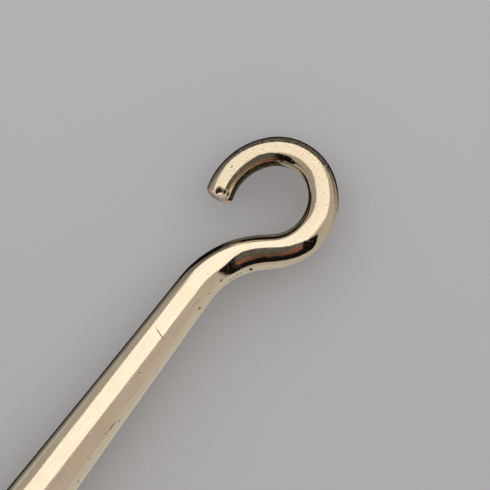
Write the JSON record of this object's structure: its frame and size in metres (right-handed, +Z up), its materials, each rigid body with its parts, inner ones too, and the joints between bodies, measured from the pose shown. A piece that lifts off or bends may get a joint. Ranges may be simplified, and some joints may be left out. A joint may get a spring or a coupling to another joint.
{
  "type": "hive tool",
  "caption": "Hand tool for opening hives: a polished tapering bar ending in a round hook, a screwed hardwood handle and a flared scraper blade with a nail slot.",
  "frame": {"origin": "on the flat land under the lower scale, which the tool rests on, midway between the front and middle screws", "axes": "+X from the scraper blade towards the hook, +Y towards the side that the hook opens to, +Z up, away from the surface the tool lies on"},
  "size_m": [0.3142, 0.0413, 0.024],
  "materials": {
    "nickel_plate_bar": "polished, warm nickel plate with light wear",
    "nickel_plate_ferrule": "polished nickel plate",
    "nickel_plate_bolster": "polished nickel plate",
    "spring_steel": "ground spring steel, brushed along its length",
    "pin_steel": "filed flush",
    "walnut": "oiled hardwood",
    "brass": "satin"
  },
  "bodies": {
    "root": {"hook_bar": "nickel_plate_bar", "front_ferrule": "nickel_plate_ferrule", "upper_bolster": "nickel_plate_bolster", "lower_bolster": "nickel_plate_bolster", "scraper_plate": "spring_steel", "bolster_pin_left": "pin_steel", "bolster_pin_right": "pin_steel", "lower_scale": "walnut", "upper_scale": "walnut", "ferrule_pin": "brass", "handle_screw_front": "brass", "sleeve_nut_front": "brass", "handle_screw_middle": "brass", "sleeve_nut_middle": "brass", "handle_screw_rear": "brass", "sleeve_nut_rear": "brass"}
  },
  "joints": []
}
